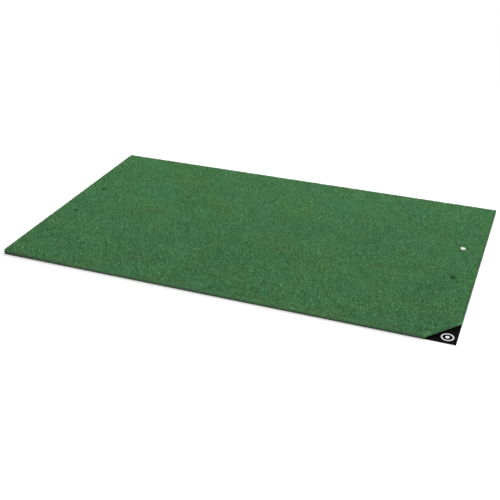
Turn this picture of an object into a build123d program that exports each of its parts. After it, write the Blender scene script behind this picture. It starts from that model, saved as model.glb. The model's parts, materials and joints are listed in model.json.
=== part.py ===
from build123d import *
import math
import os

# Golf hitting mat: a cut-pile turf carpet on a thin foam pad and a rubber base
# sheet, with four tee holes and one rubber tee. Turf and foam stop short of one
# corner, where a thin moulded rubber plate lies on the bare base sheet.
#
# Frame: millimetres. Origin at the centre of the underside, +X along the long
# side, +Y along the short side, +Z up. The front edge is at -Y and the right
# edge at +X. The plate is in the (+X, -Y) corner, the tee in the (+X, +Y) hole.

# ---------------------------------------------------------------- outline
FOOT = 304.8
LENGTH = 5 * FOOT
WIDTH = 3 * FOOT
OVERCUT = 1.0              # how far a cutter runs past the face it cuts

# ---------------------------------------------------------------- layers, from the floor up
T_BASE = 2.0               # non-slip rubber base sheet
T_FILM = 0.1               # each adhesive film
T_FOAM = 3.2               # closed-cell foam pad
T_COAT = 0.8               # latex coat that locks the tufts
T_CLOTH = 0.4              # woven primary backing
T_PILE = 12.4              # cut pile

Z_BASE = 0.0
Z_FILM_1 = Z_BASE + T_BASE
Z_FOAM = Z_FILM_1 + T_FILM
Z_FILM_2 = Z_FOAM + T_FOAM
Z_COAT = Z_FILM_2 + T_FILM
Z_CLOTH = Z_COAT + T_COAT
Z_PILE = Z_CLOTH + T_CLOTH
Z_TOP = Z_PILE + T_PILE

# ---------------------------------------------------------------- tee holes
HOLE_FROM_SHORT_EDGE = 68.0
HOLE_FROM_CENTRELINE = 103.0
HOLE_R = 8.9               # punched through the pad and both backings
HOLE_TOP_R = 12.4          # the pile opens to this at its tips
POCKET_R = 27.0            # recess in the underside for a tee's flange
POCKET_DEPTH = 3.2

HOLE_X = LENGTH / 2 - HOLE_FROM_SHORT_EDGE
HOLE_Y = HOLE_FROM_CENTRELINE
HOLES = [(-HOLE_X, HOLE_Y), (-HOLE_X, -HOLE_Y), (HOLE_X, -HOLE_Y), (HOLE_X, HOLE_Y)]

# ---------------------------------------------------------------- corner plate
PLATE_LEG_X = 92.0         # along the front edge
PLATE_LEG_Y = 110.0        # along the right edge
PLATE_T = 1.4
PLATE_TOP = Z_FOAM + PLATE_T
PLATE_EDGE = 0.5           # small chamfer round the top
MARK_RING_R = 19.0         # plain ring and dot, inlaid
MARK_RING_BORE_R = 15.2
MARK_DOT_R = 6.0
MARK_RECESS = 0.5
MARK_PROUD = 0.25

# The mark sits at the centre of the circle that fits the triangle.
PLATE_IN_R = (PLATE_LEG_X + PLATE_LEG_Y - math.hypot(PLATE_LEG_X, PLATE_LEG_Y)) / 2
MARK_X = LENGTH / 2 - PLATE_IN_R
MARK_Y = -WIDTH / 2 + PLATE_IN_R

# ---------------------------------------------------------------- rubber tee
TEE_X, TEE_Y = HOLES[3]
FLANGE_R = POCKET_R - 2.0
FLANGE_T = 3.0
FLANGE_EDGE = 0.8
STEM_R = HOLE_R - 0.8
LIP_R = HOLE_R - 0.3       # still slips through the hole
LIP_H = 2.6
LIP_RAMP = 1.0             # height over which the stem widens to the lip
LIP_EDGE = 0.7             # bevel round the top
TEE_TOP = Z_TOP + 2.5      # stands proud of the pile
COLLAR_TOP = 9.6           # the lower half ends above the woven backing
NECK_GAP = 0.1
LEAN_MAX = 15.0            # degrees the tube leans each way when struck
NECK_SLOPE = LEAN_MAX + 1.5    # taper that leaves room for the lean
BEAD_R = 2.5               # round bead across the neck, on the lean axis
BEAD_CLEARANCE = 0.06
CUP_R = 6.4                # shallow cup that holds the ball
CUP_FLOOR_R = 3.0
CUP_FLOOR_Z = TEE_TOP - 3.2
CUP_FLOOR_T = 2.6
CORE_R = 4.0               # hollow core, open at the foot
CORE_ROOF_RISE = 1.4       # the core's conical roof rises this much to the axis

NECK_CENTRE = Pos(TEE_X, TEE_Y, COLLAR_TOP)
NECK_AXIS = NECK_CENTRE * Rot(0, 90, 0)
NECK_CYL_LENGTH = 4 * STEM_R   # bead and trough cylinders outrun the stem


# ================================================================ helpers
def disc(x, y, z0, radius, height):
    """An upright cylinder standing on z0."""
    return Pos(x, y, z0 + height / 2) * Cylinder(radius, height)


def tube(outer_r, bore_r, height):
    """An upright tube centred on the origin."""
    return Cylinder(outer_r, height) - Cylinder(bore_r, height + 2 * OVERCUT)


def corner_prism(z0, height, grow=0.0):
    """The triangular corner; grow runs it past the two outer edges for a clean cut."""
    x1, y0 = LENGTH / 2, -WIDTH / 2
    slope = PLATE_LEG_Y / PLATE_LEG_X
    face = make_face(Polyline(
        (x1 - PLATE_LEG_X - grow / slope, y0 - grow),
        (x1 + grow, y0 - grow),
        (x1 + grow, y0 + PLATE_LEG_Y + grow * slope),
        close=True,
    ))
    return Pos(0, 0, z0) * extrude(face, height)


def sheet(z0, thickness, hole_r, holes=HOLES, corner_cut=True):
    """A full-size layer with its tee holes and, unless told otherwise, the corner cut off."""
    body = Pos(0, 0, z0 + thickness / 2) * Box(LENGTH, WIDTH, thickness)
    for x, y in holes:
        body -= disc(x, y, z0 - OVERCUT, hole_r, thickness + 2 * OVERCUT)
    if corner_cut:
        body -= corner_prism(z0 - OVERCUT, thickness + 2 * OVERCUT, OVERCUT)
    return body


def tee_revolve(points):
    """Turns a closed (radius, z) outline about the tee's axis."""
    outline = Polyline(*[(r, 0, z) for r, z in points], close=True)
    return Pos(TEE_X, TEE_Y, 0) * revolve(make_face(outline), Axis.Z)


# ================================================================ layers
def make_foam_pad():
    """The foam, with the upper part of each flange pocket cut into its underside."""
    foam = sheet(Z_FOAM, T_FOAM, HOLE_R)
    for x, y in HOLES:
        foam -= disc(x, y, Z_BASE, POCKET_R, POCKET_DEPTH)
    return foam


def make_turf_pile():
    """The pile falls back from each hole towards its tips."""
    pile = sheet(Z_PILE, T_PILE, HOLE_R, holes=[])
    for x, y in HOLES:
        pile -= Pos(x, y, Z_PILE + T_PILE / 2) * Cone(HOLE_R, HOLE_TOP_R, T_PILE)
    return pile


# ================================================================ corner plate
def mark_shapes(height):
    """The ring and the dot, rising from the floor of their recess."""
    place = Pos(MARK_X, MARK_Y, PLATE_TOP - MARK_RECESS + height / 2)
    return [
        place * tube(MARK_RING_R, MARK_RING_BORE_R, height),
        place * Cylinder(MARK_DOT_R, height),
    ]


def make_corner_badge():
    plate = corner_prism(Z_FOAM, PLATE_T)
    plate = chamfer(plate.faces().sort_by(Axis.Z)[-1].edges(), PLATE_EDGE)
    for recess in mark_shapes(MARK_RECESS):
        plate -= recess
    return plate


def make_badge_emblem():
    shapes = mark_shapes(MARK_RECESS + MARK_PROUD)
    return Compound(children=[shape.solid() for shape in shapes])


# ================================================================ rubber tee
def make_tee_base():
    """Lower half: the flange that sits in the pocket, and the foot of the tube."""
    base = tee_revolve([
        (CORE_R, 0.0),
        (FLANGE_R - FLANGE_EDGE, 0.0),
        (FLANGE_R, FLANGE_EDGE),
        (FLANGE_R, FLANGE_T - FLANGE_EDGE),
        (FLANGE_R - FLANGE_EDGE, FLANGE_T),
        (STEM_R, FLANGE_T),
        (STEM_R, COLLAR_TOP),
        (CORE_R, COLLAR_TOP),
    ])
    # A trough across its top, along X, seats the neck's round bead.
    return base - NECK_AXIS * Cylinder(BEAD_R + BEAD_CLEARANCE, NECK_CYL_LENGTH)


def make_tee_stem():
    """Upper half: the free length of the tube, which leans about the neck."""
    neck_z = COLLAR_TOP + NECK_GAP
    rise = math.tan(math.radians(NECK_SLOPE))
    stem = tee_revolve([
        (CORE_R, neck_z + CORE_R * rise),
        (STEM_R, neck_z + STEM_R * rise),
        (STEM_R, TEE_TOP - LIP_H - LIP_RAMP),
        (LIP_R, TEE_TOP - LIP_H),
        (LIP_R, TEE_TOP - LIP_EDGE),
        (LIP_R - LIP_EDGE, TEE_TOP),
        (CUP_R, TEE_TOP),
        (CUP_FLOOR_R, CUP_FLOOR_Z),
        (0.0, CUP_FLOOR_Z),
        (0.0, CUP_FLOOR_Z - CUP_FLOOR_T),
        (CORE_R, CUP_FLOOR_Z - CUP_FLOOR_T - CORE_ROOF_RISE),
    ])
    # The bead is kept only within the tube's wall.
    wall = NECK_CENTRE * tube(STEM_R, CORE_R, 4 * BEAD_R)
    stem += wall & (NECK_AXIS * Cylinder(BEAD_R, NECK_CYL_LENGTH))
    return stem


# ================================================================ output
parts = {
    "base_sheet": sheet(Z_BASE, T_BASE, POCKET_R, corner_cut=False),
    "base_adhesive": sheet(Z_FILM_1, T_FILM, POCKET_R),
    "foam_pad": make_foam_pad(),
    "turf_adhesive": sheet(Z_FILM_2, T_FILM, HOLE_R),
    "secondary_backing": sheet(Z_COAT, T_COAT, HOLE_R),
    "primary_backing": sheet(Z_CLOTH, T_CLOTH, HOLE_R),
    "turf_pile": make_turf_pile(),
    "badge_adhesive": corner_prism(Z_FILM_1, T_FILM),
    "corner_badge": make_corner_badge(),
    "badge_emblem": make_badge_emblem(),
    "tee_base": make_tee_base(),
    "tee_stem": make_tee_stem(),
}

os.makedirs("parts", exist_ok=True)
for name, shape in parts.items():
    export_step(shape, f"parts/{name}.step")
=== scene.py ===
# An artificial-turf mat with round holes, one of them holding a white rubber tee.
# It lies flat on z = 0, centred on the origin, long side along X, pile up (+Z).
# A black rubber plate fills the +X -Y corner. The front side is -Y. Units are metres.

import json
import math

import bpy
import numpy as np
from mathutils import Matrix, Vector
from mathutils.geometry import tessellate_polygon
from numpy.linalg import norm


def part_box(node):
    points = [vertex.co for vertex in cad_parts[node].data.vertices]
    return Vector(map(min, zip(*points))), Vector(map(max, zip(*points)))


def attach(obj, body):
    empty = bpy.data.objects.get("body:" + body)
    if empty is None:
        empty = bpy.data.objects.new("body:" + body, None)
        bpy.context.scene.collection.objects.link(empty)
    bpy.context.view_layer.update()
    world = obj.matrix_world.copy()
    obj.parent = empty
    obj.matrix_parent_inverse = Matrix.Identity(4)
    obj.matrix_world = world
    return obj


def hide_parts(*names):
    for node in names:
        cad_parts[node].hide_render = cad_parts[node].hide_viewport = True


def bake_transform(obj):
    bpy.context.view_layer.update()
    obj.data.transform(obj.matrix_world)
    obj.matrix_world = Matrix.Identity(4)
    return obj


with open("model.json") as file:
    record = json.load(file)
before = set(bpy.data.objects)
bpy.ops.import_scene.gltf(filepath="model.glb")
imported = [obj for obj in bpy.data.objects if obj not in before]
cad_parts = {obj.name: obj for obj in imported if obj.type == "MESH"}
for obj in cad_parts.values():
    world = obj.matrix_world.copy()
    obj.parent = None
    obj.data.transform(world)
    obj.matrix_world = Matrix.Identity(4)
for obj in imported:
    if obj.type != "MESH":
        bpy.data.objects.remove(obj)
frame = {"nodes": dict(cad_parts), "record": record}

MM = 0.001
TURN = 2 * math.pi
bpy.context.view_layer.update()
scene = bpy.context.scene


# ================================================================ outlines seen from above
def unit(vector):
    return vector / norm(vector)


def sides_of(corners):
    """(start, end, inward direction) of each side of a counter-clockwise polygon."""
    sides = []
    for start, end in zip(corners, corners[1:] + corners[:1]):
        along = unit(end - start)
        sides.append((start, end, np.array([-along[1], along[0]])))
    return sides


def outline(sides, step):
    """Dense outline with its outward normals; a corner takes the mean of its two sides."""
    points, normals = [], []
    for start, end, inward in sides:
        count = int(round(norm(end - start) / step))
        points.append(start + (end - start) * (np.arange(count) / count)[:, None])
        normals.append(np.tile(-inward, (count, 1)))
    for k, run in enumerate(normals):
        run[0] = unit(run[0] + normals[k - 1][-1])
    return np.concatenate(points), np.concatenate(normals)


def circle(centre, radius, z, count):
    """Level ring of points; radius may be one value or one per point."""
    angle = np.arange(count) / count * TURN
    return np.stack([centre[0] + radius * np.cos(angle), centre[1] + radius * np.sin(angle),
                     np.full(count, z)], 1)


def past_diagonal(x, y):
    """Distance from the corner plate's long edge, positive on the turf side."""
    return (x - DIAGONAL_A[0]) * DIAGONAL_IN[0] + (y - DIAGONAL_A[1]) * DIAGONAL_IN[1]


# ================================================================ places, read from the frame
pile_lo, pile_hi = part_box("turf_pile")
foam_lo, foam_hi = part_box("foam_pad")
sheet_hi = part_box("base_sheet")[1]
plate_lo, plate_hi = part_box("corner_badge")
mark_lo, mark_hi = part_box("badge_emblem")
flange_lo, flange_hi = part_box("tee_base")
tube_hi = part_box("tee_stem")[1]

HALF_X, HALF_Y = pile_hi.x, pile_hi.y
Z_ROOT, Z_TIP = pile_lo.z, pile_hi.z
TEE = np.array([(flange_lo.x + flange_hi.x) / 2, (flange_lo.y + flange_hi.y) / 2])
bores = [mount for mount in frame["record"]["mounts"] if mount["kind"] == "bore"]
HOLE_R = bores[0]["dims"]["r_mm"] * MM
EMPTY = [np.array(mount["pos_m"][:2]) for mount in bores]
HOLES = EMPTY + [TEE]
POCKET_R = 27.0 * MM           # round recess under each hole, in the foam and the sheet
POCKET_TOP = 3.2 * MM

MAT_CORNERS = [np.array([x, y]) for x, y in (
    (-HALF_X, -HALF_Y), (HALF_X, -HALF_Y), (HALF_X, HALF_Y), (-HALF_X, HALF_Y))]
LEG_X, LEG_Y = plate_hi.x - plate_lo.x, plate_hi.y - plate_lo.y
DIAGONAL_A = np.array([HALF_X - LEG_X, -HALF_Y])
DIAGONAL_B = np.array([HALF_X, -HALF_Y + LEG_Y])
# the turf and foam are the mat less the plate's corner
TURF_SIDES = sides_of([MAT_CORNERS[0], DIAGONAL_A, DIAGONAL_B] + MAT_CORNERS[2:])
DIAGONAL_IN = TURF_SIDES[1][2]


# ================================================================ noise
def value_noise(x, y, size, seed):
    """Smooth value noise from 0 to 1; size is the cell in metres."""
    table = np.random.default_rng(seed).random((256, 256))
    grid_x, grid_y = x / size, y / size
    col, row = np.floor(grid_x).astype(int), np.floor(grid_y).astype(int)
    part_x, part_y = grid_x - col, grid_y - row
    part_x, part_y = part_x * part_x * (3 - 2 * part_x), part_y * part_y * (3 - 2 * part_y)
    here = table[col % 256, row % 256]
    right = table[(col + 1) % 256, row % 256]
    above = table[col % 256, (row + 1) % 256]
    across = table[(col + 1) % 256, (row + 1) % 256]
    return ((here * (1 - part_x) + right * part_x) * (1 - part_y)
            + (above * (1 - part_x) + across * part_x) * part_y)


def fbm(x, y, size, seed, octaves=2):
    """Octaves of value noise, each half the size of the last, scaled back to 0 to 1."""
    total, amplitude, weight = 0.0, 1.0, 0.0
    for k in range(octaves):
        total = total + amplitude * value_noise(x, y, size / 2 ** k, seed + 17 * k)
        weight += amplitude
        amplitude *= 0.55
    return total / weight


# ================================================================ mesh helpers
def build(name, verts, loops, counts, uv=None, attrs=None, smooth=False):
    """A mesh object from flat arrays: verts (n, 3), loops (k,), counts (faces,)."""
    mesh = bpy.data.meshes.new(name)
    verts = np.ascontiguousarray(verts, np.float32)
    loops = np.ascontiguousarray(loops, np.int32)
    counts = np.ascontiguousarray(counts, np.int32)
    mesh.vertices.add(len(verts))
    mesh.vertices.foreach_set("co", verts.ravel())
    mesh.loops.add(len(loops))
    mesh.loops.foreach_set("vertex_index", loops)
    mesh.polygons.add(len(counts))
    starts = np.concatenate([[0], np.cumsum(counts)[:-1]]).astype(np.int32)
    mesh.polygons.foreach_set("loop_start", starts)
    mesh.update(calc_edges=True)
    mesh.polygons.foreach_set("use_smooth", np.full(len(counts), smooth))
    for key, values in (attrs or {}).items():
        attr = mesh.attributes.new(key, "FLOAT", "POINT")
        attr.data.foreach_set("value", np.ascontiguousarray(values, np.float32))
    if uv is not None:
        layer = mesh.uv_layers.new(name="OFBake")
        layer.data.foreach_set("uv", np.ascontiguousarray(uv, np.float32).ravel())
    ob = bpy.data.objects.new(name, mesh)
    scene.collection.objects.link(ob)
    return ob


def fit_to_mat(ob, finish, cad_name):
    """Gives a piece its material, ties it to the mat and puts it in place of a CAD piece."""
    ob.data.materials.append(finish)
    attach(ob, "mat")
    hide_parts(cad_name)


class Shell:
    """Collects rows of points, walls between them and caps into one mesh."""

    def __init__(self):
        self.verts, self.loops, self.counts, self.total = [], [], [], 0

    def points(self, points):
        """Adds points and returns their indices."""
        points = np.asarray(points, float).reshape(-1, 3)
        start = self.total
        self.verts.append(points)
        self.total += len(points)
        return np.arange(start, self.total)

    def level(self, points, z):
        """Adds a row of (x, y) points at height z."""
        return self.points(np.column_stack([points, np.full(len(points), z)]))

    def circles(self, centre, profile, count):
        """A row for each (radius, z) of the profile."""
        return [self.points(circle(centre, radius, z, count)) for radius, z in profile]

    def faces(self, faces):
        faces = np.asarray(faces, int)
        self.loops.append(faces.ravel())
        self.counts.append(np.full(len(faces), faces.shape[1]))

    def bridge(self, first, second):
        """Quads between two closed rows of equal length."""
        self.faces(np.stack([first, np.roll(first, -1), np.roll(second, -1), second], 1))

    def wall(self, rows, flip=False):
        """Bridges each row to the next; flip turns the faces over."""
        for first, second in zip(rows[:-1], rows[1:]):
            if flip:
                first, second = second, first
            self.bridge(first, second)

    def cap(self, rows, up=True):
        """Fills a level region bounded by closed rows: the outline first, then its holes."""
        verts = np.concatenate(self.verts)
        order = np.concatenate(rows)
        tris = order[np.array(tessellate_polygon([[Vector(verts[i]) for i in row] for row in rows]))]
        corner = verts[tris]
        facing = np.cross(corner[:, 1] - corner[:, 0], corner[:, 2] - corner[:, 0])[:, 2]
        solid = np.abs(facing) > 1e-16        # triangles without area are left out
        tris = tris[solid]
        flip = (facing[solid] > 0) != up
        tris[flip] = tris[flip][:, ::-1]
        self.faces(tris)

    def done(self, name, smooth=False):
        return build(name, np.concatenate(self.verts), np.concatenate(self.loops),
                     np.concatenate(self.counts), smooth=smooth)


# ================================================================ node helpers
def material(name):
    made = bpy.data.materials.new(name)
    made.use_nodes = True
    return made, made.node_tree, made.node_tree.nodes["Principled BSDF"]


def node(tree, kind, **values):
    """A new node; a key with a leading underscore is a property, any other is an input."""
    made = tree.nodes.new(kind)
    for key, value in values.items():
        if key.startswith("_"):
            setattr(made, key[1:], value)
        else:
            made.inputs[key].default_value = value
    return made


def set_inputs(shader, values):
    for key, value in values.items():
        shader.inputs[key].default_value = value


def coords(tree):
    return node(tree, "ShaderNodeTexCoord").outputs["Object"]


def noise(tree, vector, scale, detail=2.0, rough=0.5):
    made = node(tree, "ShaderNodeTexNoise", Scale=scale, Detail=detail, Roughness=rough)
    tree.links.new(vector, made.inputs["Vector"])
    return made.outputs["Fac"]


def ramp(tree, fac, stops):
    """Colour ramp; stops are (position, colour)."""
    made = node(tree, "ShaderNodeValToRGB")
    elements = made.color_ramp.elements
    while len(elements) > 1:
        elements.remove(elements[-1])
    elements[0].position, elements[0].color = stops[0][0], (*stops[0][1], 1)
    for position, colour in stops[1:]:
        elements.new(position).color = (*colour, 1)
    tree.links.new(fac, made.inputs["Fac"])
    return made.outputs["Color"]


def grey(tree, fac, stops):
    """Grey ramp; stops are (position, level)."""
    return ramp(tree, fac, [(position, (level,) * 3) for position, level in stops])


def mix(tree, kind, base, over, fac=1.0):
    """Colour mix; each input is a socket, a number or a colour."""
    made = node(tree, "ShaderNodeMix", _data_type="RGBA", _blend_type=kind)
    for value, socket in ((fac, made.inputs[0]), (base, made.inputs[6]), (over, made.inputs[7])):
        if isinstance(value, bpy.types.NodeSocket):
            tree.links.new(value, socket)
        elif isinstance(value, (int, float)):
            socket.default_value = value
        else:
            socket.default_value = (*value, 1)
    return made.outputs[2]


def attribute(tree, name):
    return node(tree, "ShaderNodeAttribute", _attribute_name=name).outputs["Fac"]


def bump(tree, shader, height, strength, distance):
    made = node(tree, "ShaderNodeBump", Strength=strength, Distance=distance)
    tree.links.new(height, made.inputs["Height"])
    tree.links.new(made.outputs["Normal"], shader.inputs["Normal"])


def srgb(*levels):
    """Linear colour from three sRGB levels of 0 to 255."""
    return tuple((level / 255 / 12.92) if level <= 10.3 else ((level / 255 + 0.055) / 1.055) ** 2.4
                 for level in levels)


# ================================================================ materials
TURF_COOL = (0.087, 0.277, 0.115)
TURF_MID = (0.092, 0.283, 0.105)
TURF_WARM = (0.105, 0.283, 0.096)


def turf_material(name, gain=1.0):
    """Pile: a tone per blade, with painted shade towards the root and a painted highlight at the
    tip, and broad and fine drifts of hue.
    """
    made, tree, shader = material(name)
    at = coords(tree)
    broad = noise(tree, at, scale=5.5, detail=3, rough=0.55)
    patch = noise(tree, at, scale=24.0, detail=3, rough=0.6)
    fine = noise(tree, at, scale=170.0, rough=0.6)
    green = ramp(tree, broad, [(0.30, TURF_COOL), (0.50, TURF_MID), (0.72, TURF_WARM)])
    green = mix(tree, "MIX", green, TURF_WARM, fac=grey(tree, patch, [(0.42, 0.0), (0.70, 0.45)]))
    green = mix(tree, "MIX", green, TURF_COOL, fac=grey(tree, patch, [(0.30, 0.4), (0.46, 0.0)]))
    green = mix(tree, "MULTIPLY", green, grey(tree, fine, [(0.25, 0.93), (0.75, 1.07)]))
    tone = attribute(tree, "tone")
    light = node(tree, "ShaderNodeVectorMath", _operation="SCALE")
    tree.links.new(green, light.inputs[0])
    tree.links.new(tone, light.inputs["Scale"])
    # painted shade: the colour darkens towards the root, and a painted highlight brightens the tip
    root = grey(tree, attribute(tree, "rise"), [
        (0.0, 0.20 * gain), (0.45, 0.55 * gain), (0.85, 1.0 * gain), (1.0, 1.14 * gain)])
    colour = mix(tree, "MULTIPLY", light.outputs[0], root)
    # each blade leans a little towards brown or blue: red rises with hue and blue falls
    hue = attribute(tree, "hue")
    tint = node(tree, "ShaderNodeCombineXYZ", Y=1.0)
    for axis, slope in (("X", 1.0), ("Z", -0.8)):
        line = node(tree, "ShaderNodeMath", _operation="MULTIPLY_ADD")
        tree.links.new(hue, line.inputs[0])
        line.inputs[1].default_value, line.inputs[2].default_value = slope, 1.0
        tree.links.new(line.outputs[0], tint.inputs[axis])
    colour = mix(tree, "MULTIPLY", colour, tint.outputs[0])
    tree.links.new(colour, shader.inputs["Base Color"])
    set_inputs(shader, {"Roughness": 0.62, "Specular IOR Level": 0.28,
                        "Sheen Weight": 0.12, "Sheen Roughness": 0.45})
    return made


def rubber_material(name, low, high, rough, depth, scale=60.0, grain=900.0, specular=0.4):
    """Moulded rubber: faint clouding, a fine grain and slightly uneven gloss."""
    made, tree, shader = material(name)
    at = coords(tree)
    cloud = noise(tree, at, scale=scale, detail=4, rough=0.6)
    colour = ramp(tree, cloud, [(0.30, low), (0.70, high)])
    tree.links.new(colour, shader.inputs["Base Color"])
    shine = noise(tree, at, scale=scale * 2.3, detail=3, rough=0.6)
    gloss = grey(tree, shine, [(0.3, rough[0]), (0.7, rough[1])])
    tree.links.new(gloss, shader.inputs["Roughness"])
    set_inputs(shader, {"Specular IOR Level": specular})
    bump(tree, shader, noise(tree, at, scale=grain), strength=depth, distance=0.0004)
    return made


def foam_material(name, low, high):
    """Closed-cell foam: small cells of differing shade on the cut face."""
    made, tree, shader = material(name)
    at = coords(tree)
    cells = node(tree, "ShaderNodeTexVoronoi", Scale=900.0)
    tree.links.new(at, cells.inputs["Vector"])
    cloud = noise(tree, at, scale=40.0, detail=4, rough=0.6)
    colour = mix(tree, "MULTIPLY", ramp(tree, cloud, [(0.3, low), (0.7, high)]),
                 grey(tree, cells.outputs["Distance"], [(0.05, 0.62), (0.45, 1.08)]))
    tree.links.new(colour, shader.inputs["Base Color"])
    set_inputs(shader, {"Roughness": 0.85, "Specular IOR Level": 0.25})
    bump(tree, shader, cells.outputs["Distance"], strength=0.5, distance=0.0004)
    return made


def weave_material(name, low, high):
    """Plain weave: bands both ways, lightest where they differ."""
    made, tree, shader = material(name)
    at = coords(tree)
    bands = [node(tree, "ShaderNodeTexWave", Scale=624.99854, _wave_type="BANDS",
                  _bands_direction=axis, _wave_profile="SIN") for axis in "XY"]
    for band in bands:
        tree.links.new(at, band.inputs["Vector"])
    weave = mix(tree, "DIFFERENCE", bands[0].outputs["Color"], bands[1].outputs["Color"])
    cloud = noise(tree, at, scale=120.0, detail=3, rough=0.6)
    colour = mix(tree, "MULTIPLY", ramp(tree, cloud, [(0.3, low), (0.7, high)]),
                 grey(tree, weave, [(0.0, 0.65), (1.0, 1.1)]))
    tree.links.new(colour, shader.inputs["Base Color"])
    set_inputs(shader, {"Roughness": 0.8})
    bump(tree, shader, weave, strength=0.6, distance=0.0003)
    return made


def white_rubber(name, low, high):
    """White rubber with faint grey clouds and specks, duller where it is greyer."""
    made, tree, shader = material(name)
    at = coords(tree)
    stain = noise(tree, at, scale=180.0, detail=4, rough=0.62)
    speck = noise(tree, at, scale=1400.0)
    colour = mix(tree, "MULTIPLY", ramp(tree, stain, [(0.28, low), (0.55, high)]),
                 grey(tree, speck, [(0.25, 0.94), (0.6, 1.0)]))
    tree.links.new(colour, shader.inputs["Base Color"])
    gloss = grey(tree, stain, [(0.3, 0.52), (0.7, 0.36)])
    tree.links.new(gloss, shader.inputs["Roughness"])
    bump(tree, shader, noise(tree, at, scale=1100.0), strength=0.10, distance=0.0003)
    return made


turf = turf_material("turf_yarn")
thatch = turf_material("turf_thatch", gain=0.62)
foam_cut = foam_material("cut_foam", low=srgb(36, 52, 38), high=srgb(50, 68, 51))
sheet_rubber = rubber_material("base_rubber", low=srgb(26, 29, 27), high=srgb(40, 44, 41),
                               rough=(0.62, 0.82), depth=0.25)
plate_rubber = rubber_material("plate_rubber", low=(0.0008, 0.0010, 0.0009),
                               high=(0.0020, 0.0023, 0.0021), rough=(0.46, 0.62), depth=0.12,
                               scale=90.0, grain=1500.0, specular=0.01)
glue = rubber_material("glue_film", low=srgb(60, 58, 50), high=srgb(82, 79, 70),
                       rough=(0.35, 0.6), depth=0.1)
latex = rubber_material("latex_coat", low=srgb(40, 46, 42), high=srgb(58, 64, 58),
                        rough=(0.6, 0.8), depth=0.4, grain=500.0)
cloth = weave_material("woven_backing", low=srgb(30, 40, 30), high=srgb(46, 58, 44))
tee_white = white_rubber("tee_rubber", low=(0.47, 0.52, 0.44), high=(0.57, 0.62, 0.54))
mark_white = white_rubber("mark_white", low=(0.40, 0.40, 0.39), high=(0.54, 0.54, 0.53))


# ================================================================ turf ribbons
# Each strand is a ribbon of two quads through three centres: root, middle and tip.
def heading(angle):
    return np.stack([np.cos(angle), np.sin(angle)], 1)


def ribbon_verts(centres, across, widths):
    """(n, 6, 3) vertices, two at each centre; widths is (n, 3)."""
    rows = []
    for k in range(3):
        offset = across[k] * widths[:, k:k + 1] / 2
        rows += [centres[k] - offset, centres[k] + offset]
    return np.stack(rows, 1)


def ribbon_uv(cell, grid):
    """Each ribbon fills its own cell of the texture, less a margin."""
    u_left, v_root = ((cell + 0.14) / grid).T
    u_right, v_tip = ((cell + 0.86) / grid).T
    v_mid = v_root + (v_tip - v_root) * 0.5
    corners = ((u_left, v_root), (u_right, v_root), (u_right, v_mid), (u_left, v_mid),
               (u_left, v_mid), (u_right, v_mid), (u_right, v_tip), (u_left, v_tip))
    return np.stack([np.stack(corner, 1) for corner in corners], 1).reshape(-1, 2)


def ribbons(name, verts, tone, rise, hue=None, layout=None):
    """Object of ribbons; tone and hue are per ribbon, rise (root 0, tip 1) per vertex.

    layout is (texture cell of each ribbon, cells each way), or a square if left out.
    """
    count = len(verts)
    if layout is None:
        side = int(math.ceil(math.sqrt(count)))
        order = np.arange(count)
        layout = np.stack([order % side, order // side], 1), side
    first = np.arange(count)[:, None] * 6
    quads = np.stack([first + np.array([0, 1, 3, 2]), first + np.array([2, 3, 5, 4])], 1)
    attrs = {"tone": np.repeat(tone, 6), "rise": rise.reshape(-1)}
    if hue is not None:
        attrs["hue"] = np.repeat(hue, 6)
    ob = build(name, verts.reshape(-1, 3), quads.reshape(-1), np.full(2 * count, 4),
               uv=ribbon_uv(*layout), attrs=attrs)
    fit_to_mat(ob, turf, "turf_pile")


def shape_round_holes(verts, rng):
    """Pile closes over the empty holes, and stands clear of the tee, more so along Y."""
    height = np.clip((verts[:, :, 2] - Z_ROOT) / (Z_TIP - Z_ROOT), 0, 1.1)
    reach = (0.65 + 0.5 * rng.random(len(verts)))[:, None]
    zone = 22 * MM             # only pile this near to a hole's centre moves
    opening = 6.1 * MM         # radius that stays clear
    for hole in EMPTY:
        away = verts[:, :, :2] - hole
        radius = np.maximum(norm(away, axis=2), 1e-6)
        fade = np.clip(1 - (radius - HOLE_R) / (9 * MM), 0, 1)
        pull = 2.6 * MM * reach * height ** 1.4 * fade
        factor = np.where(radius < zone, np.maximum(radius - pull, opening) / radius, 1.0)
        verts[:, :, :2] = hole + away * factor[:, :, None]
    away = verts[:, :, :2] - TEE
    near = norm(away, axis=2) < zone
    clear_x, clear_y = (9.15 + 0.3 * height) * MM, (9.15 + 3.1 * height) * MM
    depth = np.maximum(np.sqrt((away[:, :, 0] / clear_x) ** 2 + (away[:, :, 1] / clear_y) ** 2),
                       1e-6)
    factor = np.where(near & (depth < 1.0), 1 / depth, 1.0)
    verts[:, :, :2] = TEE + away * factor[:, :, None]
    return verts


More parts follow.
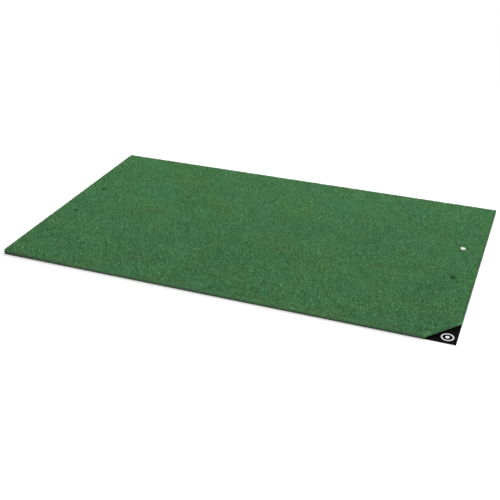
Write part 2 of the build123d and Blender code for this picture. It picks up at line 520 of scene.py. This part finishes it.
def blades(name, x, y, root_z, seed, layout=None, lean_to=None, wide=1.0, least=0.0,
           shade=1.0, gain=1.0, tip_shade=1.0):
    """Pile standing at x, y from root_z.

    lean_to is a heading for each blade and makes it stand straighter. wide scales the
    width, gain the tone; least is the lowest rise, shade and tip_shade scale the rise
    at the middle and set it at the tip.
    """
    rng = np.random.default_rng(seed)
    count = len(x)
    upright = 0.0 if lean_to is None else 1.0

    # headings, and the tilt of the lower and upper halves: mean and spread in degrees
    swirl = fbm(x, y, size=0.022, seed=91)
    nap = (TURN * (0.12 + 0.35 * (fbm(x, y, size=0.060, seed=37) - 0.5))
           + rng.normal(0, 1.9, count))
    tilt_low = np.radians(np.clip(rng.normal(12, 10, count), -12, 38)) * (1 - 0.75 * upright)
    tilt_high = (tilt_low
                 + np.radians(np.clip(rng.normal(12, 16, count), -20, 46)) * (1 - 0.7 * upright))
    if lean_to is not None:
        nap = lean_to + rng.normal(0, 0.7, count)

    # tip heights in mm about the pile's top: a drop, two slow drifts and a scatter
    tip = Z_TIP + MM * (-0.35 + 0.20 * (fbm(x, y, size=0.009, seed=5) - 0.5)
                        + 0.12 * (swirl - 0.5) + rng.normal(0, 0.42, count))
    tip = np.minimum(tip, Z_TIP + 0.7 * MM)
    length = tip - root_z
    turned = nap + rng.normal(0, 0.45, count)
    root = np.stack([x, y, root_z], 1)
    low_part = length * (0.52 + 0.08 * rng.random(count))
    middle = root + np.column_stack([heading(nap) * (np.tan(tilt_low) * low_part)[:, None],
                                     low_part])
    high_part = length - low_part
    end = middle + np.column_stack([heading(turned) * (np.tan(tilt_high) * high_part)[:, None],
                                    high_part])

    # widths in mm at root, middle and tip; the tip also twists
    widths = wide * MM * np.stack([1.05 + 0.35 * rng.random(count), 1.15 + 0.5 * rng.random(count),
                                   0.55 + 0.45 * rng.random(count)], 1)
    level = np.column_stack([heading(nap + math.pi / 2 + rng.normal(0, 0.25, count)),
                             np.zeros(count)])
    twisted = level + np.column_stack([np.zeros((count, 2)), rng.normal(0, 0.28, count)])
    verts = ribbon_verts((root, middle, end), (level, level, twisted), widths)
    verts = shape_round_holes(verts, rng)
    stray = 0.6 * MM           # how far pile may pass the mat's sides
    verts[:, :, 0] = np.clip(verts[:, :, 0], -HALF_X - stray, HALF_X + stray)
    verts[:, :, 1] = np.clip(verts[:, :, 1], -HALF_Y - stray, HALF_Y + stray)

    # tone: scatter, a slow drift and a few bright blades; hue: scatter and two drifts
    tone = np.clip(1 + 0.175 * rng.normal(0, 1, count)
                   + 0.04 * (fbm(x, y, size=0.0085, seed=71) - 0.5)
                   + 0.38 * (rng.random(count) > 0.965), 0.45, 1.75) * gain
    hue = np.clip(rng.normal(0, 0.11, count) + 0.12 * (fbm(x, y, size=0.014, seed=81) - 0.5)
                  + 0.14 * (fbm(x, y, size=0.11, seed=83) - 0.5), -0.4, 0.5)
    # rise carries the painted shade along each blade, from a dark root to a bright tip
    low = np.clip((root_z - Z_ROOT) / (Z_TIP - Z_ROOT), 0, 1)
    mid = (low + (1 - low) * (low_part / length)) * shade
    least = np.broadcast_to(least, count)[:, None]
    high = np.broadcast_to(tip_shade, count)
    rise = least + (1 - least) * np.stack([low, low, mid, mid, high, high], 1)
    ribbons(name, verts, tone, rise, hue=hue, layout=layout)


# ---------------------------------------------------------------- open turf, in tiles
FRINGE = 2.9 * MM          # the outer band is planted separately, as a cut edge
RING = 3.2 * MM            # and so is a band round each hole
BLADE_STEP = 1.95 * MM
TILES_X, TILES_Y = 5, 2
TILE_W, TILE_D = 2 * HALF_X / TILES_X, 2 * HALF_Y / TILES_Y
CELLS_X, CELLS_Y = int(round(TILE_W / BLADE_STEP)), int(round(TILE_D / BLADE_STEP))


def turf_tile(i, j):
    """One blade in each cell of the tile, off centre by up to 0.48 of a cell."""
    rng = np.random.default_rng(1000 + 10 * i + j)
    col, row = np.meshgrid(np.arange(CELLS_X), np.arange(CELLS_Y), indexing="ij")
    col, row = col.ravel(), row.ravel()
    x = (-HALF_X + i * TILE_W
         + (col + 0.5 + rng.uniform(-0.48, 0.48, len(col))) * TILE_W / CELLS_X)
    y = (-HALF_Y + j * TILE_D
         + (row + 0.5 + rng.uniform(-0.48, 0.48, len(row))) * TILE_D / CELLS_Y)
    keep = (np.abs(x) < HALF_X - FRINGE) & (np.abs(y) < HALF_Y - FRINGE)
    keep &= past_diagonal(x, y) > FRINGE
    for hole in HOLES:
        keep &= np.hypot(x - hole[0], y - hole[1]) > HOLE_R + RING
    x, y, col, row = x[keep], y[keep], col[keep], row[keep]
    root_z = 12.6 * MM + 0.9 * MM * rng.random(len(x))
    blades(f"turf_pile_{'front' if j == 0 else 'back'}_{i + 1}", x, y, root_z,
           seed=2000 + 10 * i + j,
           layout=(np.stack([col, row], 1), np.array([CELLS_X, CELLS_Y])))


for i in range(TILES_X):
    for j in range(TILES_Y):
        turf_tile(i, j)


# ---------------------------------------------------------------- cut edges and hole rims
def edge_row(side, inset, step, rng):
    """Points along a side, moved inward by inset, with a little scatter."""
    start, end, inward = side
    count = int(norm(end - start) / step)
    along = (np.arange(count) + 0.5 + rng.uniform(-0.4, 0.4, count)) / count
    depth = inset + rng.uniform(-0.25, 0.25, count) * MM
    return start + (end - start) * along[:, None] + inward * depth[:, None]


def end_shade_ramp(x):
    """Ramp towards the two short ends, strongest at -X: it sets painted shade on the side walls
    there, and how high the loose yarn stops.
    """
    return np.clip((-0.48 - x) / 0.25, 0, 1) + 0.4 * np.clip((x - 0.40) / 0.25, 0, 1)


def cut_edge(rng):
    """Three close rows along each side of the turf, leaning outward."""
    spots, leans = [], []
    for side in TURF_SIDES:
        inward = side[2]
        for inset in (0.45, 1.35, 2.35):
            spot = edge_row(side, inset * MM, 1.25 * MM, rng)
            spots.append(spot)
            leans.append(np.full(len(spot), math.atan2(-inward[1], -inward[0])))
    x, y = np.concatenate(spots).T
    inside = past_diagonal(x, y) > 0.2 * MM
    inside &= (np.abs(x) < HALF_X - 0.1 * MM) & (np.abs(y) < HALF_Y - 0.1 * MM)
    x, y, lean = x[inside], y[inside], np.concatenate(leans)[inside]
    # painted light on the wall along the plate, lifted to the top's brightness; painted shade on the
    # other sides, dimmer and darker still towards the short ends
    by_plate = past_diagonal(x, y) < 3.2 * MM
    end_shaded = end_shade_ramp(x)
    blades("turf_cut_edge", x, y, np.full(len(x), Z_ROOT), seed=31, lean_to=lean, wide=1.05,
           least=np.where(by_plate, 0.70, 0.22 * (1 - end_shaded)),
           gain=np.where(by_plate, 1.10, 0.86 - 0.16 * end_shaded))


def edge_fuzz():
    """Loose yarn along the cut edge: short strands that flop outward and down over the pad."""
    rng = np.random.default_rng(77)
    spots, outs = [], []
    for side in TURF_SIDES:
        for _ in range(5):
            spot = edge_row(side, 0.25 * MM, 1.5 * MM, rng)
            spots.append(spot)
            outs.append(np.tile(-side[2], (len(spot), 1)))
    spot, out = np.concatenate(spots), np.concatenate(outs)
    x, y = spot.T
    count = len(spot)
    along = np.stack([-out[:, 1], out[:, 0]], 1)

    # ranges in mm: root height, drop of the tip, reach outward, and drift along the edge
    root_z = Z_ROOT + MM * rng.uniform(-0.3, 6.5, count)
    drop = MM * rng.uniform(1.0, 4.6, count)
    reach_mid = MM * rng.uniform(0.25, 0.65, count)
    reach_tip = reach_mid + MM * rng.uniform(-0.15, 0.35, count)
    drift = MM * rng.normal(0, 0.9, count)
    root = np.column_stack([spot, root_z])
    middle = root + np.column_stack([out * reach_mid[:, None] + along * (0.4 * drift)[:, None],
                                     MM * rng.uniform(-0.5, 0.6, count)])
    end = root + np.column_stack([out * reach_tip[:, None] + along * drift[:, None], -drop])
    # the yarn stops short of the floor, higher up towards the short ends
    stop = MM * (2.2 + 1.6 * fbm(x, y, size=0.05, seed=61) + 3.0 * end_shade_ramp(x))
    end[:, 2] = np.maximum(end[:, 2], stop + 0.8 * MM * rng.random(count))
    widths = MM * np.stack([np.full(count, 0.9), 1.0 + 0.35 * rng.random(count),
                            0.45 + 0.4 * rng.random(count)], 1)
    across = np.column_stack([along, rng.normal(0, 0.15, count)])
    verts = ribbon_verts((root, middle, end), (across,) * 3, widths)

    by_plate = past_diagonal(x, y) < 1.0 * MM
    # painted light on the strands along the plate (brighter tone), painted shade on the others
    # (dimmer tone)
    tone = np.clip(1 + 0.2 * rng.normal(0, 1, count), 0.5, 1.6) * np.where(by_plate, 1.10, 0.86)
    # painted shade: lighter with height, darker towards the short ends; painted light: even and
    # bright along the plate
    rise = 0.24 + 0.52 * np.clip((verts[:, :, 2] - 1.5 * MM) / (11 * MM), 0, 1)
    rise = np.where(by_plate[:, None], 0.72, rise * (1 - 0.52 * end_shade_ramp(x))[:, None])
    ribbons("turf_edge_fuzz", verts, tone, rise)


def hole_rims(rng):
    """Four close rings round each hole, leaning in; the inner ones of empty holes get painted shade,
    standing in for the hole's shadowed depth.
    """
    spots, leans, lits = [], [], []
    for hole in HOLES:
        for outset in (0.35, 1.3, 2.3, 3.2):
            radius = HOLE_R + outset * MM
            count = int(TURN * radius / (1.35 * MM))
            angle = (np.arange(count) + rng.uniform(-0.4, 0.4, count)) / count * TURN
            spots.append(hole + radius * heading(angle))
            leans.append(angle + math.pi)
            lits.append(np.full(count, hole is TEE or outset > 2))
    x, y = np.concatenate(spots).T
    lit = np.concatenate(lits)
    # painted shade inside the empty holes: the two inner rings are near black at mid-height and
    # dimmer at the tip and in tone
    blades("turf_hole_rims", x, y, np.full(len(x), Z_ROOT), seed=32,
           lean_to=np.concatenate(leans), shade=np.where(lit, 0.8, 0.02),
           tip_shade=np.where(lit, 1.0, 0.85), gain=np.where(lit, 1.0, 0.90))


rim_rng = np.random.default_rng(7)         # shared: the rims draw after the cut edge
cut_edge(rim_rng)
edge_fuzz()
hole_rims(rim_rng)


# ---------------------------------------------------------------- thatch
def thatch_bed():
    """The dense lower pile: a lumpy bed, snapped to the cut edges, with a skirt below."""
    step = 4.0 * MM
    inset = 1.6 * MM           # from the turf's sides and the plate
    half_x, half_y = HALF_X - inset, HALF_Y - inset
    count_x, count_y = int(round(2 * half_x / step)), int(round(2 * half_y / step))
    grid_x, grid_y = np.meshgrid(np.linspace(-half_x, half_x, count_x + 1),
                                 np.linspace(-half_y, half_y, count_y + 1), indexing="ij")
    rng = np.random.default_rng(55)
    inner = (slice(1, -1), slice(1, -1))
    for grid in (grid_x, grid_y):
        grid[inner] += rng.uniform(-0.9, 0.9, grid[inner].shape) * MM
    x, y = grid_x.ravel(), grid_y.ravel()

    # snap to the diagonal, then to a circle round each hole, and mark what lies beyond
    past = past_diagonal(x, y)
    near = (past < inset + step * 0.5) & (past > inset - step * 1.2)
    move = np.where(near, inset - past, 0)
    x = np.clip(x + DIAGONAL_IN[0] * move, -half_x, half_x)
    y = np.clip(y + DIAGONAL_IN[1] * move, -half_y, half_y)
    dead = past_diagonal(x, y) < inset - 0.05 * MM
    for hole in HOLES:
        edge = HOLE_R + (3.0 if hole is TEE else 1.8) * MM
        away_x, away_y = x - hole[0], y - hole[1]
        radius = np.maximum(np.hypot(away_x, away_y), 1e-9)
        band = (radius < edge + step * 0.55) & (radius > edge - step * 1.3)
        x = np.where(band, hole[0] + away_x / radius * edge, x)
        y = np.where(band, hole[1] + away_y / radius * edge, y)
        dead |= radius <= edge - step * 1.3
    z = (13.6 * MM + 3.0 * MM * (fbm(x, y, size=0.0075, seed=3) - 0.5)
         + rng.normal(0, 0.35, len(x)) * MM)

    index = np.arange((count_x + 1) * (count_y + 1)).reshape(count_x + 1, count_y + 1)
    quads = np.stack([index[:-1, :-1], index[1:, :-1], index[1:, 1:], index[:-1, 1:]],
                     -1).reshape(-1, 4)
    quads = quads[~dead[quads].any(1)]
    # drop faces squeezed to nothing by the snapping
    corner = np.stack([x, y], 1)[quads]
    cross_a, cross_b = corner[:, 2] - corner[:, 0], corner[:, 3] - corner[:, 1]
    face_area = 0.5 * np.abs(cross_a[:, 0] * cross_b[:, 1] - cross_b[:, 0] * cross_a[:, 1])
    quads = quads[face_area > 0.3 * MM * MM]

    # skirt from every open edge down to the root plane
    edges = np.concatenate([quads[:, [k, (k + 1) % 4]] for k in range(4)])
    key = np.sort(edges, 1)
    _, first, times = np.unique(key[:, 0] * 10 ** 7 + key[:, 1],
                                return_index=True, return_counts=True)
    rim = edges[first[times == 1]]
    used, inverse = np.unique(np.concatenate([quads.ravel(), rim.ravel()]), return_inverse=True)
    quads, rim = inverse[:quads.size].reshape(-1, 4), inverse[quads.size:].reshape(-1, 2)
    bed = np.stack([x, y, z], 1)[used]
    rim_points = np.unique(rim)
    low_of = -np.ones(len(bed), int)
    low_of[rim_points] = len(bed) + np.arange(len(rim_points))
    low = bed[rim_points].copy()
    low[:, 2] = Z_ROOT
    skirt = np.stack([rim[:, 1], rim[:, 0], low_of[rim[:, 0]], low_of[rim[:, 1]]], 1)
    verts, faces = np.concatenate([bed, low]), np.concatenate([quads, skirt])

    rise = np.clip((verts[:, 2] - Z_ROOT) / (Z_TIP - Z_ROOT), 0, 1)
    tone = np.clip(1 + rng.normal(0, 0.28, len(verts)), 0.45, 1.6)
    half = np.array([HALF_X, HALF_Y])
    uv = ((verts[faces][:, :, :2] + half) / (2 * half)).reshape(-1, 2)
    ob = build("turf_thatch", verts, faces.reshape(-1), np.full(len(faces), 4), uv=uv,
               attrs={"tone": tone, "rise": rise})
    fit_to_mat(ob, thatch, "turf_pile")


thatch_bed()


# ================================================================ foam pad
def foam_pad():
    """Cut foam: a wall that waves and bulges a little, with its holes and the pockets below."""
    shell = Shell()
    step = 2.5 * MM
    edge, normal = outline(TURF_SIDES, step)
    along = np.arange(len(edge)) * step
    bottom, top = foam_lo.z, foam_hi.z
    rows = []
    for t in np.linspace(0, 1, 8):
        wave = (fbm(along, np.full(len(along), t * 0.004 + 1.0), size=0.055, seed=11, octaves=3)
                - 0.5) * 0.9 * MM
        rough = (fbm(along, np.full(len(along), t * 0.006 + 3.0), size=0.006, seed=12)
                 - 0.5) * 0.55 * MM
        bulge = 0.22 * MM * math.sin(math.pi * t) - 0.25 * MM
        offset = np.minimum(wave * 0.45 + rough + bulge, 0.15 * MM)
        rows.append(shell.level(edge + normal * offset[:, None], bottom + (top - bottom) * t))
    shell.wall(rows)
    tops, bottoms = [], []
    for hole in HOLES:
        low, roof = shell.circles(hole, [(POCKET_R, bottom), (POCKET_R - 0.15 * MM, POCKET_TOP)],
                                  count=96)
        shell.wall([low, roof], flip=True)
        bore = shell.circles(hole, [
            (HOLE_R + 0.35 * MM, POCKET_TOP), (HOLE_R, POCKET_TOP + 0.35 * MM),
            (HOLE_R - 0.02 * MM, (POCKET_TOP + top) / 2), (HOLE_R, top)], count=96)
        shell.wall(bore, flip=True)
        shell.cap([roof, bore[0]], up=False)
        bottoms.append(low)
        tops.append(bore[-1])
    shell.cap([rows[-1]] + tops, up=True)
    shell.cap([rows[0]] + bottoms, up=False)
    fit_to_mat(shell.done("foam_pad_cut"), foam_cut, "foam_pad")


# ================================================================ base sheet
WEB = 0.55 * MM                # underside of the sheet between the studs
STUD_PITCH = 15.5 * MM
STUD_ROW = STUD_PITCH * 0.866
# (radius, z) of a stud's foot, shoulder and face
STUD_PROFILE = ((5.5 * MM, WEB + 0.02 * MM), (5.0 * MM, 0.12 * MM), (4.5 * MM, 0.0))


def add_studs(shell):
    """Shallow six-sided studs on a triangular lattice, clear of the sides and pockets."""
    margin = 6 * MM
    count_x, count_y = int(2 * HALF_X / STUD_PITCH), int(2 * HALF_Y / STUD_ROW)
    col, row = np.meshgrid(np.arange(count_x), np.arange(count_y), indexing="ij")
    x = (col + 0.25 + 0.5 * (row % 2) - (count_x - 0.5) / 2).ravel() * STUD_PITCH
    y = (row - (count_y - 1) / 2).ravel() * STUD_PITCH * 0.866
    keep = (np.abs(x) < HALF_X - margin) & (np.abs(y) < HALF_Y - margin)
    for hole in HOLES:
        keep &= np.hypot(x - hole[0], y - hole[1]) > POCKET_R + margin
    x, y = x[keep], y[keep]
    angle = (np.arange(6) + 0.5) / 6 * TURN
    rings = []
    for radius, z in STUD_PROFILE:
        ring = np.stack([x[:, None] + radius * np.cos(angle),
                         y[:, None] + radius * np.sin(angle), np.full((len(x), 6), z)], 2)
        rings.append(shell.points(ring).reshape(-1, 6))
    for upper, lower in zip(rings[:-1], rings[1:]):
        for k in range(6):
            n = (k + 1) % 6
            shell.faces(np.stack([upper[:, n], upper[:, k], lower[:, k], lower[:, n]], 1))
    shell.faces(rings[-1][:, ::-1])


def base_sheet():
    """Rubber sheet under the whole mat: a thin web with a soft edge and low studs beneath."""
    shell = Shell()
    top = sheet_hi.z
    edge, normal = outline(sides_of(MAT_CORNERS), 6.0 * MM)
    profile = ((-0.5, WEB), (-0.12, WEB + 0.12 * MM), (0.0, WEB + 0.35 * MM),
               (0.0, top - 0.15 * MM), (-0.12, top))      # offset in mm, z
    rows = [shell.level(edge + normal * offset * MM, z) for offset, z in profile]
    shell.wall(rows)
    tops, bottoms = [], []
    for hole in HOLES:
        pocket = shell.circles(hole, [(POCKET_R + 0.3 * MM, WEB), (POCKET_R, WEB + 0.3 * MM),
                                      (POCKET_R, top)], count=96)
        shell.wall(pocket, flip=True)
        tops.append(pocket[-1])
        bottoms.append(pocket[0])
    shell.cap([rows[-1]] + tops, up=True)
    shell.cap([rows[0]] + bottoms, up=False)
    add_studs(shell)
    fit_to_mat(shell.done("base_sheet_studded"), sheet_rubber, "base_sheet")


foam_pad()
base_sheet()


# ================================================================ corner plate and its mark
MARK = ((mark_lo.x + mark_hi.x) / 2, (mark_lo.y + mark_hi.y) / 2)
MARK_FLOOR, MARK_TOP = mark_lo.z, mark_hi.z
MARK_OUT = (mark_hi.x - mark_lo.x) / 2     # ring's outer radius
MARK_IN = 15.2 * MM                        # ring's inner radius
MARK_DOT = 6.0 * MM
MARK_COUNT = 72


def rounded(corners, radius, count):
    """A triangle with an arc of count points at each corner."""
    points = []
    for k, corner in enumerate(corners):
        arms = unit(corners[k - 1] - corner), unit(corners[(k + 1) % 3] - corner)
        half = math.acos(float(np.clip(arms[0] @ arms[1], -1, 1))) / 2
        centre = corner + unit(arms[0] + arms[1]) * radius / math.sin(half)
        angles = []
        for arm in arms:
            spoke = corner + arm * ((centre - corner) @ arm) - centre
            angles.append(math.atan2(spoke[1], spoke[0]))
        first, last = angles
        while last < first:
            last += TURN
        for angle in np.linspace(first, last, count):
            points.append(centre + radius * np.array([math.cos(angle), math.sin(angle)]))
    return np.array(points)


def dense(points, step):
    """A closed outline with its long stretches divided to about step."""
    divided = []
    for k, point in enumerate(points):
        stretch = points[(k + 1) % len(points)] - point
        count = max(1, int(norm(stretch) / step))
        divided += [point + stretch * s / count for s in range(count)]
    return np.array(divided)


def corner_plate():
    """Moulded rubber triangle with a rounded top edge and a shallow ring-and-dot recess."""
    shell = Shell()
    bottom, top = plate_lo.z, plate_hi.z
    edge = dense(rounded([DIAGONAL_A, MAT_CORNERS[1], DIAGONAL_B], 0.8 * MM, count=10),
                 step=3.0 * MM)
    inner_r = (LEG_X + LEG_Y - math.hypot(LEG_X, LEG_Y)) / 2      # inscribed circle
    centre = np.array([HALF_X - inner_r, -HALF_Y + inner_r])
    soft = 0.55 * MM
    profile = [(0.0, bottom), (0.0, top - soft)] + [
        (soft * (1 - math.cos(t)), top - soft * (1 - math.sin(t)))
        for t in np.radians([22, 45, 67, 90])]                    # inset, z
    rows = [shell.level(centre + (edge - centre) * (1 - inset / inner_r), z)
            for inset, z in profile]
    shell.wall(rows)
    shell.cap([rows[0]], up=False)
    # recess walls, each wider at the top by grow
    outer, inner, dot = [
        shell.circles(MARK, [(radius + grow, top), (radius + grow * 0.3, top - 0.2 * MM),
                             (radius, MARK_FLOOR)], MARK_COUNT)
        for radius, grow in ((MARK_OUT, 0.25 * MM), (MARK_IN, -0.25 * MM), (MARK_DOT, 0.25 * MM))]
    shell.wall(outer, flip=True)
    shell.wall(dot, flip=True)
    shell.wall(inner)
    shell.cap([rows[-1], outer[0]], up=True)
    shell.cap([inner[0], dot[0]], up=True)
    shell.cap([outer[-1], inner[-1]], up=True)
    shell.cap([dot[-1]], up=True)
    fit_to_mat(shell.done("corner_plate"), plate_rubber, "corner_badge")


def plate_mark():
    """A plain ring and a dot with softened top edges."""
    shell = Shell()
    soft = 0.35 * MM
    ring = shell.circles(MARK, [
        (MARK_IN, MARK_FLOOR), (MARK_IN, MARK_TOP - soft),
        (MARK_IN + 0.3 * soft, MARK_TOP - 0.3 * soft), (MARK_IN + soft, MARK_TOP),
        ((MARK_IN + MARK_OUT) / 2, MARK_TOP + 0.04 * MM),
        (MARK_OUT - soft, MARK_TOP), (MARK_OUT - 0.3 * soft, MARK_TOP - 0.3 * soft),
        (MARK_OUT, MARK_TOP - soft), (MARK_OUT, MARK_FLOOR)], MARK_COUNT)
    shell.wall(ring + ring[:1], flip=True)
    dot = shell.circles(MARK, [
        (MARK_DOT, MARK_FLOOR), (MARK_DOT, MARK_TOP - soft),
        (MARK_DOT - 0.3 * soft, MARK_TOP - 0.3 * soft), (MARK_DOT - soft, MARK_TOP),
        (MARK_DOT * 0.5, MARK_TOP + 0.05 * MM)], MARK_COUNT)
    shell.wall(dot)
    shell.cap([dot[-1]], up=True)
    shell.cap([dot[0]], up=False)
    fit_to_mat(shell.done("plate_mark"), mark_white, "badge_emblem")


corner_plate()
plate_mark()


# ================================================================ rubber tee
TEE_TOP = tube_hi.z
FLANGE_R, LIP_R = flange_hi.x - TEE[0], tube_hi.x - TEE[0]
TUBE_R, CAVITY_R = 8.1 * MM, 4.0 * MM
TEE_COUNT = 96


def arc(radius, z, bend, start, end, count):
    """(radius, z) points on an arc of radius bend, from start to end in degrees."""
    return [(radius + bend * math.cos(t), z + bend * math.sin(t))
            for t in np.radians(np.linspace(start, end, count))]


def tee_outside():
    """(radius, z) from the cavity's mouth under the flange, round and up, into the cup."""
    flange_top, fillet = 2.98 * MM, 1.9 * MM
    return [
        (CAVITY_R + 0.4 * MM, 0.0),
        (9 * MM, 0.0), (9.4 * MM, 0.25 * MM), (16 * MM, 0.25 * MM), (16.4 * MM, 0.0),
        (FLANGE_R - 1.0 * MM, 0.0),
        *arc(FLANGE_R - 1.0 * MM, 1.0 * MM, 1.0 * MM, -90, 0, 6)[1:],
        *arc(FLANGE_R - 1.2 * MM, 1.75 * MM, 1.2 * MM, 0, 90, 7)[1:],
        (17 * MM, 2.96 * MM), (12.5 * MM, flange_top),
        *arc(TUBE_R + fillet, flange_top + fillet, fillet, 270, 180, 7)[1:],
        *[(TUBE_R, z * MM)
          for z in (5.8, 6.8, 7.8, 8.6, 9.2, 9.8, 10.4, 11.0, 11.8, 12.8, 14.2, 15.8)
          if z * MM < TEE_TOP - 4.2 * MM],
        (TUBE_R, TEE_TOP - 3.9 * MM), (TUBE_R + 0.12 * MM, TEE_TOP - 3.3 * MM),
        (LIP_R - 0.1 * MM, TEE_TOP - 2.7 * MM), (LIP_R, TEE_TOP - 2.3 * MM),
        (LIP_R, TEE_TOP - 0.9 * MM),
        *arc(LIP_R - 0.9 * MM, TEE_TOP - 0.9 * MM, 0.9 * MM, 0, 90, 7)[1:],
        *arc(6.6 * MM, TEE_TOP - 0.7 * MM, 0.7 * MM, 90, 160, 5),
        *[(radius * MM, TEE_TOP - depth * MM) for radius, depth in (
            (5.2, 1.7), (4.2, 2.6), (3.2, 3.05), (1.8, 3.2), (0.9, 3.22))],
    ]


def tee_cavity():
    """(radius, z) of the cavity, from its roof down to its mouth."""
    return [
        (0.9 * MM, TEE_TOP - 5.9 * MM), (2.4 * MM, TEE_TOP - 6.2 * MM),
        (3.4 * MM, TEE_TOP - 6.8 * MM), (CAVITY_R, TEE_TOP - 7.8 * MM),
        *[(CAVITY_R, z * MM)
          for z in (13.2, 12.0, 11.0, 10.4, 9.8, 9.2, 8.6, 7.8, 6.0, 3.0, 1.0)],
        (CAVITY_R + 0.1 * MM, 0.35 * MM),
    ]


def rubber_tee():
    """One moulding: flange, tube and cupped lip, with a thin raised seam on two sides."""
    shell = Shell()
    angle = np.arange(TEE_COUNT) / TEE_COUNT * TURN
    seam = np.exp(-((np.mod(angle + math.pi / 4, math.pi) - math.pi / 2) / 0.035) ** 2)
    outside = []
    for radius, z in tee_outside():
        if (0.3 * MM < z < TEE_TOP - 1.2 * MM
                and TUBE_R - 0.1 * MM < radius < FLANGE_R - 2 * MM):
            radius = radius + 0.09 * MM * seam
        outside.append(shell.points(circle(TEE, radius, z, TEE_COUNT)))
    shell.wall(outside)
    shell.cap([outside[-1]], up=True)
    cavity = shell.circles(TEE, tee_cavity(), TEE_COUNT)
    shell.cap([cavity[0]], up=False)
    shell.wall(cavity + outside[:1])
    ob = shell.done("rubber_tee", smooth=True)
    ob.data.materials.append(tee_white)
    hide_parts("tee_base", "tee_stem")
    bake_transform(ob)


rubber_tee()

# ================================================================ CAD pieces kept as they are
for name, finish in (("base_adhesive", glue), ("turf_adhesive", glue), ("badge_adhesive", glue),
                     ("secondary_backing", latex), ("primary_backing", cloth)):
    kept = frame["nodes"][name].data.materials
    kept.clear()
    kept.append(finish)


# ================================================================ stage, light and camera
def floor_material():
    """Pale paper, clear from below, sweeping to plain white far away for the camera."""
    made, tree, shader = material("floor_paper")
    set_inputs(shader, {"Base Color": (0.85, 0.85, 0.85, 1), "Roughness": 0.9,
                        "Specular IOR Level": 0.1})
    link = tree.links.new
    place = node(tree, "ShaderNodeNewGeometry")
    clear = node(tree, "ShaderNodeBsdfTransparent")
    pick = node(tree, "ShaderNodeMixShader")
    link(place.outputs["Backfacing"], pick.inputs[0])
    distance = node(tree, "ShaderNodeVectorMath", _operation="LENGTH")
    link(place.outputs["Position"], distance.inputs[0])
    away = node(tree, "ShaderNodeMapRange", _interpolation_type="SMOOTHSTEP",
                **{"From Min": 1.0, "From Max": 2.2, "To Min": 0.0, "To Max": 1.0})
    link(distance.outputs["Value"], away.inputs["Value"])
    path = node(tree, "ShaderNodeLightPath")
    both = node(tree, "ShaderNodeMath", _operation="MULTIPLY")
    link(away.outputs["Result"], both.inputs[0])
    link(path.outputs["Is Camera Ray"], both.inputs[1])
    white = node(tree, "ShaderNodeEmission", Color=(1, 1, 1, 1), Strength=1.0)
    sweep = node(tree, "ShaderNodeMixShader")
    link(both.outputs[0], sweep.inputs[0])
    link(shader.outputs[0], sweep.inputs[1])
    link(white.outputs[0], sweep.inputs[2])
    link(sweep.outputs[0], pick.inputs[1])
    link(clear.outputs[0], pick.inputs[2])
    link(pick.outputs[0], tree.nodes["Material Output"].inputs["Surface"])
    return made


def add_floor(half=30):
    mesh = bpy.data.meshes.new("floor")
    corners = [(-half, -half, 0), (half, -half, 0), (half, half, 0), (-half, half, 0)]
    mesh.from_pydata(corners, [], [(0, 1, 2, 3)])
    floor = bpy.data.objects.new("floor", mesh)
    scene.collection.objects.link(floor)
    mesh.materials.append(floor_material())


def add_world():
    """The backdrop looks white but lights the mat more softly."""
    world = bpy.data.worlds.new("studio")
    scene.world = world
    world.use_nodes = True
    tree = world.node_tree
    background = tree.nodes["Background"]
    background.inputs["Color"].default_value = (1, 1, 1, 1)
    path = node(tree, "ShaderNodeLightPath")
    level = node(tree, "ShaderNodeMapRange", **{"To Min": 0.68, "To Max": 1.0})
    tree.links.new(path.outputs["Is Camera Ray"], level.inputs["Value"])
    tree.links.new(level.outputs["Result"], background.inputs["Strength"])


def area_light(name, place, aim, size, power):
    light = bpy.data.lights.new(name, "AREA")
    light.shape = "RECTANGLE"
    light.size, light.size_y = size
    light.energy = power
    ob = bpy.data.objects.new(name, light)
    ob.location = place
    ob.rotation_mode = "QUATERNION"
    ob.rotation_quaternion = (Vector(aim) - Vector(place)).to_track_quat("-Z", "Y")
    scene.collection.objects.link(ob)


def add_camera(place, look, right, lens):
    """Camera looking along look, with right squared up to it."""
    data = bpy.data.cameras.new("camera")
    camera = bpy.data.objects.new("camera", data)
    scene.collection.objects.link(camera)
    look = Vector(look).normalized()
    right = Vector(right)
    right = (right - look * right.dot(look)).normalized()
    up = right.cross(look).normalized()
    camera.matrix_world = Matrix((
        *[(right[k], up[k], -look[k], place[k]) for k in range(3)], (0, 0, 0, 1)))
    data.sensor_width = 36.0
    data.lens = lens
    data.clip_start, data.clip_end = 0.05, 100
    scene.camera = camera


add_floor()
add_world()
area_light("key_softbox", place=(1.1, 2.5, 3.0), aim=(0.2, 0, 0), size=(3.0, 2.0), power=100)
area_light("top_softbox", place=(0.9, -0.1, 3.6), aim=(0.2, 0, 0), size=(4.0, 4.0), power=114)
add_camera(place=(0.93850, -2.54650, 1.39200), look=(-0.3165, 0.8219, -0.4736),
           right=(0.9332, 0.3592, -0.0003), lens=61.55)
scene.view_settings.view_transform = "Standard"
scene.view_settings.look = "None"
scene.view_settings.exposure = 0.0
